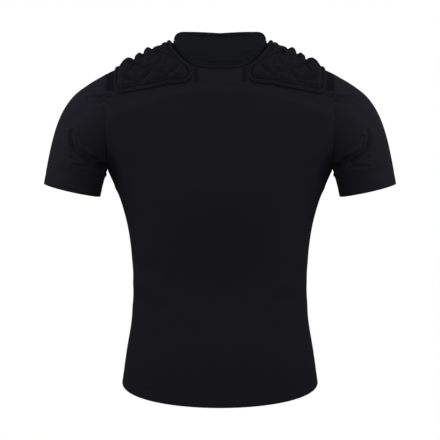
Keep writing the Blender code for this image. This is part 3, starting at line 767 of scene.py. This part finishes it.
# Fullness of the cells on the shoulder line, and the grooves behind it; the front of the pad mirrors them.
Fullness = namedtuple("Fullness", "across height")
SHOULDER_FULLNESS = [
    Fullness(across=0.075, height=0.008),
    Fullness(across=0.093, height=0.0072),
    Fullness(across=0.107, height=0.0064),
    Fullness(across=0.123, height=0.0112),
    Fullness(across=0.139, height=0.0092),
    Fullness(across=0.156, height=0.008),
    Fullness(across=0.185, height=0.0078),
]
Groove = namedtuple("Groove", "line depth half_width")
PAD_GROOVES = [
    Groove(line=[(0.149, -0.01), (0.149, 0.015), (0.147, 0.034), (0.145, 0.046)],
           depth=0.0066, half_width=0.008),
    Groove(line=[(0.145, 0.046), (0.131, 0.066), (0.117, 0.079)], depth=0.0072, half_width=0.0085),
    Groove(line=[(0.145, 0.046), (0.15, 0.059), (0.156, 0.064), (0.159, 0.07)],
           depth=0.0042, half_width=0.01),
    Groove(line=[(0.159, 0.07), (0.154, 0.078), (0.143, 0.089), (0.132, 0.1)],
           depth=0.0076, half_width=0.008),
    Groove(line=[(0.117, 0.079), (0.119, 0.087), (0.124, 0.093), (0.131, 0.098)],
           depth=0.0034, half_width=0.01),
    Groove(line=[(0.117, 0.079), (0.107, 0.09), (0.095, 0.101), (0.087, 0.111)],
           depth=0.007, half_width=0.0085),
    Groove(line=[(0.087, 0.111), (0.077, 0.106), (0.07, 0.095), (0.067, 0.091)],
           depth=0.004, half_width=0.01),
    Groove(line=[(0.103, 0.041), (0.092, 0.059), (0.077, 0.079), (0.067, 0.091)],
           depth=0.0076, half_width=0.0085),
    Groove(line=[(0.1326, -0.01), (0.132, 0.02), (0.131, 0.039)], depth=0.006, half_width=0.007),
    Groove(line=[(0.131, 0.039), (0.13, 0.051), (0.131, 0.065)], depth=0.002, half_width=0.009),
    Groove(line=[(0.131, 0.039), (0.12, 0.043), (0.108, 0.05), (0.103, 0.042)],
           depth=0.0056, half_width=0.008),
    Groove(line=[(0.1158, -0.01), (0.116, 0.028), (0.117, 0.044)], depth=0.003, half_width=0.007),
    Groove(line=[(0.1005, -0.01), (0.101, 0.024), (0.103, 0.042)], depth=0.0014, half_width=0.007),
    Groove(line=[(0.096, 0.064), (0.1, 0.074), (0.104, 0.085), (0.107, 0.09)],
           depth=0.0018, half_width=0.009),
]
Turn = namedtuple("Turn", "across over")
PAD_OUTLINE = [
    Turn(across=0.0842, over=0.0),
    Turn(across=0.079, over=0.048),
    Turn(across=0.066, over=0.08),
    Turn(across=0.05, over=0.105),
    Turn(across=0.0475, over=0.124),
    Turn(across=0.06, over=0.1355),
    Turn(across=0.1, over=0.1245),
    Turn(across=0.14, over=0.1105),
    Turn(across=0.17, over=0.0985),
    Turn(across=0.1805, over=0.084),
    Turn(across=0.183, over=0.06),
    Turn(across=0.1825, over=0.0),
    Turn(across=0.1815, over=-0.06),
    Turn(across=0.1725, over=-0.084),
    Turn(across=0.145, over=-0.094),
    Turn(across=0.105, over=-0.102),
    Turn(across=0.086, over=-0.092),
    Turn(across=0.083, over=-0.06),
]

pad_cover = knit_cloth("pad_cover", PAD_COLOUR, wale=0.0013, course=0.0010, relief=0.0003,
                       roughness=0.80, sheen=0.008)


def closed_curve(points, count):
    """Evenly spaced points on a smooth closed curve through the given points."""
    points = np.array(points, float)
    dense = []
    for index in range(len(points)):
        before, start, end, after = (points[(index + step) % len(points)] for step in (-1, 0, 1, 2))
        for share in np.linspace(0, 1, 24, endpoint=False):
            bend = 2 * start + (end - before) * share
            bend = bend + (2 * before - 5 * start + 4 * end - after) * share ** 2
            bend = bend + (3 * start - before - 3 * end + after) * share ** 3
            dense.append(bend / 2)
    dense = np.array(dense + dense[:1])
    far = np.concatenate([[0], np.cumsum(np.linalg.norm(np.diff(dense, axis=0), axis=1))])
    stations = np.linspace(0, far[-1], count, endpoint=False)
    return np.stack([np.interp(stations, far, dense[:, axis]) for axis in (0, 1)], axis=1)


def shoulder_place(spots):
    """Points of the left shoulder at distances across the top and over the shoulder line."""
    turns = np.linspace(0, QUARTER, 121)
    across, over = spots[:, 0], spots[:, 1]
    found = np.zeros((len(spots), 3))
    for side in (BACK, FRONT):
        chosen = np.flatnonzero((over >= 0) == (side == BACK))
        slope = yoke_point(side, across[chosen, None], turns[None, :])
        far = lengths(slope, 1)
        for row, spot in enumerate(chosen):
            found[spot] = [np.interp(abs(over[spot]), far[row], slope[row, :, axis]) for axis in range(3)]
    return found


def shoulder_point(spots, lift):
    """Points at a height above the cloth of the left shoulder."""
    step = 0.003
    along = shoulder_place(spots + [step, 0]) - shoulder_place(spots - [step, 0])
    down = shoulder_place(spots + [0, step]) - shoulder_place(spots - [0, step])
    normal = np.cross(along, down)
    normal /= np.linalg.norm(normal, axis=1, keepdims=True)
    return shoulder_place(spots) + normal * np.broadcast_to(lift, len(spots))[:, None]


def inside_curve(curve, spots):
    """Which spots lie inside a closed curve."""
    within = np.zeros(len(spots), bool)
    for start, end in zip(curve, np.roll(curve, -1, axis=0)):
        crosses = (start[1] > spots[:, 1]) != (end[1] > spots[:, 1])
        rise = end[1] - start[1] if end[1] != start[1] else 1.0
        meets = start[0] + (spots[:, 1] - start[1]) * (end[0] - start[0]) / rise
        within ^= crosses & (spots[:, 0] < meets)
    return within


pad_edge = closed_curve(PAD_OUTLINE, EDGE_STATIONS)
edge_run = np.roll(pad_edge, -2, axis=0) - np.roll(pad_edge, 2, axis=0)
edge_run /= np.linalg.norm(edge_run, axis=1, keepdims=True)
edge_inward = np.stack([-edge_run[:, 1], edge_run[:, 0]], axis=1)
edge_inward *= np.sign(((pad_edge.mean(axis=0) - pad_edge) * edge_inward).sum())
pad_core = pad_edge + edge_inward * (EDGE_WIDTH + SEAM_GAP)

fullness_at = smooth_curve(*zip(*SHOULDER_FULLNESS))


def beside_neck(spots):
    """One where the shoulder line meets the neck, falling away from there."""
    across = (spots[:, 0] - PAD_OUTLINE[0].across) / NECK_REACH[0]
    over = spots[:, 1] / NECK_REACH[1]
    return np.exp(-across ** 2 - over ** 2)


def pad_height(spots):
    """Height of the quilted pad: full in its cells, low along its grooves and at its rim.

    Also how firmly each spot is held there: wholly along the rim and the grooves, not at all in the cells.
    """
    folded = np.abs(spots)
    near_line = np.exp(-(folded[:, 1] / SHOULDER_REACH) ** 2)
    full = PAD_CELL_HEIGHT + (fullness_at(folded[:, 0]) - PAD_CELL_HEIGHT) * near_line
    sunk = np.zeros(len(spots))
    held = np.zeros(len(spots))
    for groove in PAD_GROOVES:
        away = line_distance(folded, smooth_line(groove.line))
        wall = np.clip((away - GROOVE_FLOOR) / groove.half_width, 0, 1)
        valley = 1 - np.sin(wall * QUARTER) ** 0.8
        sunk = np.maximum(sunk, groove.depth * valley)
        held = np.maximum(held, np.clip(HELD_FIRMNESS - away / HELD_WIDTH, 0, 1))
    to_rim = line_distance(spots, np.vstack([pad_core, pad_core[:1]]))
    held = np.maximum(held, np.clip(HELD_FIRMNESS - to_rim / HELD_WIDTH, 0, 1))
    rim = np.sin(np.clip(to_rim / PAD_RIM_BEVEL, 0, 1) * QUARTER)
    low = PAD_RIM_HEIGHT + PAD_NECK_RIM * beside_neck(spots)
    return low + (full - sunk - low) * rim, held


def swollen(points, faces, held):
    """The pad's cover pressed outwards by its foam, by cloth simulation, and held along its grooves."""
    mesh = bpy.data.meshes.new("pad_cover_flat")
    mesh.from_pydata(points.tolist(), [], [list(face) for face in faces])
    cover = bpy.data.objects.new("pad_cover_flat", mesh)
    bpy.context.scene.collection.objects.link(cover)
    pins = cover.vertex_groups.new(name="held")
    for index in np.flatnonzero(held > 0):
        pins.add([int(index)], float(held[index]), "REPLACE")
    cloth = cover.modifiers.new("swell", "CLOTH")
    cloth.settings.quality = 5
    cloth.settings.mass = 0.0008
    cloth.settings.tension_stiffness = 5
    cloth.settings.compression_stiffness = 5
    cloth.settings.shear_stiffness = 5
    cloth.settings.bending_stiffness = 0.1
    cloth.settings.shrink_min = -0.06
    cloth.settings.use_pressure = True
    cloth.settings.uniform_pressure_force = PAD_PRESSURE
    cloth.settings.vertex_group_mass = "held"
    cloth.settings.effector_weights.gravity = 0
    cloth.collision_settings.use_collision = False
    cloth.point_cache.frame_end = SWELL_FRAMES
    for frame_number in range(1, SWELL_FRAMES + 1):
        bpy.context.scene.frame_set(frame_number)
    ready = cover.evaluated_get(bpy.context.evaluated_depsgraph_get())
    moved = np.zeros(len(points) * 3)
    ready.data.vertices.foreach_get("co", moved)
    bpy.data.objects.remove(cover)
    bpy.context.scene.frame_set(1)
    move = moved.reshape(-1, 3) - points
    far = np.maximum(np.linalg.norm(move, axis=1, keepdims=True), 1e-9)
    return points + move / far * PAD_SWELL_LIMIT * np.tanh(far / PAD_SWELL_LIMIT)


grid_across, grid_over = np.meshgrid(np.arange(*PAD_ACROSS, PAD_GRID), np.arange(*PAD_OVER, PAD_GRID))
grid_across[::2] += PAD_GRID / 2
pad_spots = np.stack([grid_across.ravel(), grid_over.ravel()], axis=1)
pad_spots = pad_spots[inside_curve(pad_core, pad_spots)]
pad_spots = pad_spots[line_distance(pad_spots, np.vstack([pad_core, pad_core[:1]])) > PAD_GRID * 0.7]
pad_flat = np.vstack([pad_core, pad_spots])
rim_pairs = [(k, (k + 1) % EDGE_STATIONS) for k in range(EDGE_STATIONS)]
pad_faces = delaunay_2d_cdt([Vector(spot) for spot in pad_flat], rim_pairs, [], 1, 1e-9)[2]
pad_low = shoulder_point(pad_flat, PAD_LIFT)
pad_lift, pad_held = pad_height(pad_flat)
pad_high = swollen(shoulder_point(pad_flat, PAD_LIFT + pad_lift), pad_faces, pad_held)

EDGE_TURN = 0.8 * math.pi
EDGE_PROFILE = [((1 - math.cos(turn)) / (1 - math.cos(EDGE_TURN)), math.sin(turn) ** 0.9)
                for turn in np.linspace(0, EDGE_TURN, 11)] + [(1.0, 0.0)]
edge_height = EDGE_HEIGHT + EDGE_NECK_RISE * beside_neck(pad_edge)
edge_rings = [shoulder_point(pad_edge + edge_inward * EDGE_WIDTH * inset, PAD_LIFT + edge_height * lift)
              for inset, lift in EDGE_PROFILE]


def pad_piece(name, points, faces, spots):
    """A pad or edging from its points and faces, with a map that gives each point its spot."""
    mesh = bpy.data.meshes.new(name)
    mesh.from_pydata(points.tolist(), [], faces)
    corner = np.zeros(len(mesh.loops), int)
    mesh.loops.foreach_get("vertex_index", corner)
    return closed_piece(mesh, spots[corner], 65)


count = len(pad_flat)
pad_solid = [list(face) for face in pad_faces] + [[k + count for k in reversed(face)] for face in pad_faces]
pad_solid += [[a, b, b + count, a + count] for a, b in rim_pairs]
rings = len(edge_rings)
edge_solid = []
for ring in range(rings):
    beside = (ring + 1) % rings
    for k in range(EDGE_STATIONS):
        after = (k + 1) % EDGE_STATIONS
        edge_solid.append([ring * EDGE_STATIONS + k, beside * EDGE_STATIONS + k,
                           beside * EDGE_STATIONS + after, ring * EDGE_STATIONS + after])
edge_far = np.concatenate([[0], np.cumsum(np.linalg.norm(np.diff(pad_edge, axis=0), axis=1))])
edge_spots = np.concatenate([np.stack([edge_far, np.full(EDGE_STATIONS, ring * 0.0011)], axis=1)
                             for ring in range(rings)])

for name, mirror in (("left", 1), ("right", -1)):
    flip = np.array([mirror, 1, 1])
    pad = pad_piece("dressed_pad_" + name, np.vstack([pad_high, pad_low]) * flip, pad_solid,
                    np.vstack([pad_flat, pad_flat]))
    edging = pad_piece("dressed_pad_edging_" + name, np.vstack(edge_rings) * flip, edge_solid, edge_spots)
    for piece, node in ((pad, "shoulder_pad_"), (edging, "pad_edge_")):
        piece.data.materials.append(pad_cover)
        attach(piece, "root")
        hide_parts(node + name)


# Stitching: rows of short thread stitches along the hem, cuffs, armholes, neck seam and pad edging.
# One tree lays a stitch at even steps along each row, turned along it.
THREAD_COLOUR = (0.0050, 0.0050, 0.0066)
THREAD_LIFT = 0.0001
ARMHOLE_STITCH = 0.0036
BINDING_STITCH = BINDING_WIDTH + 0.0004
PAD_STITCH_INSET = 0.80
PAD_STITCH_HEIGHT = 0.92


def thread_finish():
    """Matt spun thread with a fine twist."""
    material = bpy.data.materials.new("sewing_thread")
    material.use_nodes = True
    tree = material.node_tree
    shader = tree.nodes["Principled BSDF"]
    start = Shade(tree, None)
    place = start.node("ShaderNodeTexCoord", output=3)
    twist = start.node("ShaderNodeTexNoise", Vector=place, Scale=900.0, Detail=1.0)
    dark = [part * 0.75 for part in THREAD_COLOUR] + [1.0]
    light = [part * 1.25 for part in THREAD_COLOUR] + [1.0]
    base_tone = start.node("ShaderNodeMix", {"data_type": "RGBA"}, output=2, i0=twist, i6=dark, i7=light)
    tree.links.new(base_tone.socket, shader.inputs["Base Color"])
    rough = 0.55 + twist * 0.2
    tree.links.new(rough.socket, shader.inputs["Roughness"])
    shader.inputs["Specular IOR Level"].default_value = 0.12
    return material


thread = thread_finish()


def stitch_tree():
    """A tree that lays stitches along the edges of a mesh."""
    tree = bpy.data.node_groups.new("stitch_row", "GeometryNodeTree")
    tree.interface.new_socket("Rows", in_out="INPUT", socket_type="NodeSocketGeometry")
    for name, value in (("Step", 0.0030), ("Stitch Length", 0.0022), ("Thread Radius", 0.00028)):
        made = tree.interface.new_socket(name, in_out="INPUT", socket_type="NodeSocketFloat")
        made.default_value = value
    tree.interface.new_socket("Stitches", in_out="OUTPUT", socket_type="NodeSocketGeometry")
    nodes = tree.nodes
    given = nodes.new("NodeGroupInput")
    taken = nodes.new("NodeGroupOutput")
    curve = nodes.new("GeometryNodeMeshToCurve")
    even = nodes.new("GeometryNodeResampleCurve")
    even.mode = "LENGTH"
    run = nodes.new("GeometryNodeInputTangent")
    turn = nodes.new("FunctionNodeAlignRotationToVector")
    turn.axis = "Z"
    stitch = nodes.new("GeometryNodeMeshUVSphere")
    stitch.inputs["Segments"].default_value = 6
    stitch.inputs["Rings"].default_value = 4
    stitch.inputs["Radius"].default_value = 1.0
    half = nodes.new("ShaderNodeMath")
    half.operation = "MULTIPLY"
    half.inputs[1].default_value = 0.5
    size = nodes.new("ShaderNodeCombineXYZ")
    lay = nodes.new("GeometryNodeInstanceOnPoints")
    real = nodes.new("GeometryNodeRealizeInstances")
    finish = nodes.new("GeometryNodeSetMaterial")
    finish.inputs["Material"].default_value = thread
    links = [
        (given.outputs["Rows"], curve.inputs["Mesh"]),
        (curve.outputs["Curve"], even.inputs["Curve"]),
        (given.outputs["Step"], even.inputs["Length"]),
        (even.outputs["Curve"], lay.inputs["Points"]),
        (run.outputs["Tangent"], turn.inputs["Vector"]),
        (turn.outputs["Rotation"], lay.inputs["Rotation"]),
        (stitch.outputs["Mesh"], lay.inputs["Instance"]),
        (given.outputs["Stitch Length"], half.inputs[0]),
        (given.outputs["Thread Radius"], size.inputs["X"]),
        (given.outputs["Thread Radius"], size.inputs["Y"]),
        (half.outputs["Value"], size.inputs["Z"]),
        (size.outputs["Vector"], lay.inputs["Scale"]),
        (lay.outputs["Instances"], real.inputs["Geometry"]),
        (real.outputs["Geometry"], finish.inputs["Geometry"]),
        (finish.outputs["Geometry"], taken.inputs["Stitches"]),
    ]
    for source, target in links:
        tree.links.new(source, target)
    return tree


stitches = stitch_tree()


def grid_row(outer, distance, place, inward):
    """Points of a row at one distance along the cloth, raised a little off it."""
    raised = outer - inward * THREAD_LIFT
    row = []
    for column in range(outer.shape[1]):
        row.append([np.interp(place, distance[:, column], raised[:, column, axis]) for axis in range(3)])
    return np.array(row)


def sew(name, rows, step):
    """Stitches along rows of points; each row is (points, closed)."""
    mesh = bpy.data.meshes.new(name + "_rows")
    points = []
    edges = []
    for row, closed in rows:
        first = len(points)
        points += row.tolist()
        edges += [(first + k, first + k + 1) for k in range(len(row) - 1)]
        if closed:
            edges.append((first + len(row) - 1, first))
    mesh.from_pydata(points, edges, [])
    path = bpy.data.objects.new(name + "_rows", mesh)
    bpy.context.scene.collection.objects.link(path)
    laid = path.modifiers.new("stitches", "NODES")
    laid.node_group = stitches
    for item in stitches.interface.items_tree:
        if item.in_out == "INPUT" and item.name == "Step":
            laid[item.identifier] = step
    bpy.context.view_layer.update()
    ready = path.evaluated_get(bpy.context.evaluated_depsgraph_get())
    made = bpy.data.meshes.new_from_object(ready)
    made.name = name
    bpy.data.objects.remove(path)
    made.shade_smooth()
    piece = bpy.data.objects.new(name, made)
    bpy.context.scene.collection.objects.link(piece)
    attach(piece, "root")


hem_rows = []
neck_rows = []
armhole_rows = []
for side in (BACK, FRONT):
    outer = panel_outer[side]
    inward = side * grid_normals(outer, closed=False)
    up = lengths(outer, 0)
    hem_rows += [(grid_row(outer, up, row, inward)[1:-1], False) for row in HEM_STITCHES]
    at_neck = np.flatnonzero(np.abs(panel_columns) < neck_share * 0.97)
    from_top = (up[-1:] - up)[::-1, at_neck]
    laid = grid_row(outer[::-1, at_neck], from_top, NECK_STITCH, inward[::-1, at_neck])
    neck_rows.append((laid, False))
neck_rows.append((grid_row(collar_outer, above_seam, COLLAR_STITCH, collar_inward), True))
laid = grid_row(collar_outer[::-1], below_rim[::-1], BINDING_STITCH, collar_inward[::-1])
neck_rows.append((laid, True))
sew("hem_stitches", hem_rows, step=0.0030)
sew("neck_stitches", neck_rows, step=0.0028)

cuff_rows = []
pad_rows = []
for mirror in (1, -1):
    flip = np.array([mirror, 1, 1])
    for row in CUFF_STITCHES:
        laid = grid_row(sleeve_outer[::-1], to_cuff[::-1], row, sleeve_inward[::-1])
        cuff_rows.append((laid * flip, True))
    laid = grid_row(sleeve_outer, from_seam, ARMHOLE_STITCH, sleeve_inward)
    armhole_rows.append((laid * flip, True))
    inner_edge = pad_edge + edge_inward * EDGE_WIDTH * PAD_STITCH_INSET
    laid = shoulder_point(inner_edge, PAD_LIFT + edge_height * PAD_STITCH_HEIGHT)
    pad_rows.append((laid * flip, True))
sew("cuff_stitches", cuff_rows, step=0.0030)
sew("armhole_stitches", armhole_rows, step=0.0030)
sew("pad_stitches", pad_rows, step=0.0032)


# Stage: a plain grey floor well below the hem, a white surround, and four soft lamps: a broad one on the
# camera's side, one above and one beside each sleeve. The camera stands behind, level with the middle.
FLOOR_Z = -0.76
FLOOR_RADIUS = 0.43
FLOOR_COLOUR = (0.40, 0.40, 0.40, 1.0)
SURROUND_COLOUR = (1.0, 1.0, 1.0, 1.0)
SOFT_FILL = 0.24
LAMP_AIM = Vector((0.0, 0.0, -0.15))
VIEW_DISTANCE = 3.0
VIEW_HEIGHT = -0.3085
VIEW_LENS = 139.86
rounds = np.linspace(0, 2 * math.pi, 96, endpoint=False)
floor_rim = places(FLOOR_RADIUS * np.cos(rounds), FLOOR_RADIUS * np.sin(rounds), FLOOR_Z)
floor_mesh = bpy.data.meshes.new("floor")
floor_mesh.from_pydata(floor_rim.tolist(), [], [list(range(len(rounds)))])
floor = bpy.data.objects.new("floor", floor_mesh)
bpy.context.scene.collection.objects.link(floor)
floor_paint = bpy.data.materials.new("floor_paint")
floor_paint.use_nodes = True
floor_shader = floor_paint.node_tree.nodes["Principled BSDF"]
floor_shader.inputs["Base Color"].default_value = FLOOR_COLOUR
floor_shader.inputs["Roughness"].default_value = 0.9
floor_mesh.materials.append(floor_paint)

world = bpy.data.worlds.new("surround")
world.use_nodes = True
surround = world.node_tree
seen_white = surround.nodes["Background"]
seen_white.inputs["Color"].default_value = SURROUND_COLOUR
seen_white.inputs["Strength"].default_value = 1.0
soft_fill = surround.nodes.new("ShaderNodeBackground")
soft_fill.inputs["Color"].default_value = SURROUND_COLOUR
soft_fill.inputs["Strength"].default_value = SOFT_FILL
path = surround.nodes.new("ShaderNodeLightPath")
either = surround.nodes.new("ShaderNodeMixShader")
surround.links.new(path.outputs["Is Camera Ray"], either.inputs[0])
surround.links.new(soft_fill.outputs[0], either.inputs[1])
surround.links.new(seen_white.outputs[0], either.inputs[2])
surround.links.new(either.outputs[0], surround.nodes["World Output"].inputs["Surface"])
bpy.context.scene.world = world

Lamp = namedtuple("Lamp", "name place power size")
LAMPS = [
    Lamp(name="lamp_left", place=(1.15, 0.30, 0.22), power=10.0, size=0.7),
    Lamp(name="lamp_right", place=(-1.15, 0.30, 0.22), power=10.0, size=0.7),
    Lamp(name="lamp_behind", place=(0.0, 1.20, -0.02), power=10.0, size=1.0),
    Lamp(name="lamp_above", place=(0.0, 0.30, 1.15), power=4.0, size=0.7),
]
for lamp in LAMPS:
    light = bpy.data.lights.new(lamp.name, "AREA")
    light.shape = "DISK"
    light.size = lamp.size
    light.energy = lamp.power
    shown = bpy.data.objects.new(lamp.name, light)
    shown.location = lamp.place
    shown.rotation_mode = "QUATERNION"
    shown.rotation_quaternion = (LAMP_AIM - Vector(lamp.place)).to_track_quat("-Z", "Y")
    bpy.context.scene.collection.objects.link(shown)

view_lens = bpy.data.cameras.new("view")
view_lens.lens = VIEW_LENS
view_lens.sensor_width = 36.0
camera = bpy.data.objects.new("view", view_lens)
camera.location = (0.0, VIEW_DISTANCE, VIEW_HEIGHT)
camera.rotation_euler = (QUARTER, 0.0, math.pi)
bpy.context.scene.collection.objects.link(camera)
bpy.context.scene.camera = camera
bpy.context.scene.view_settings.view_transform = "Standard"
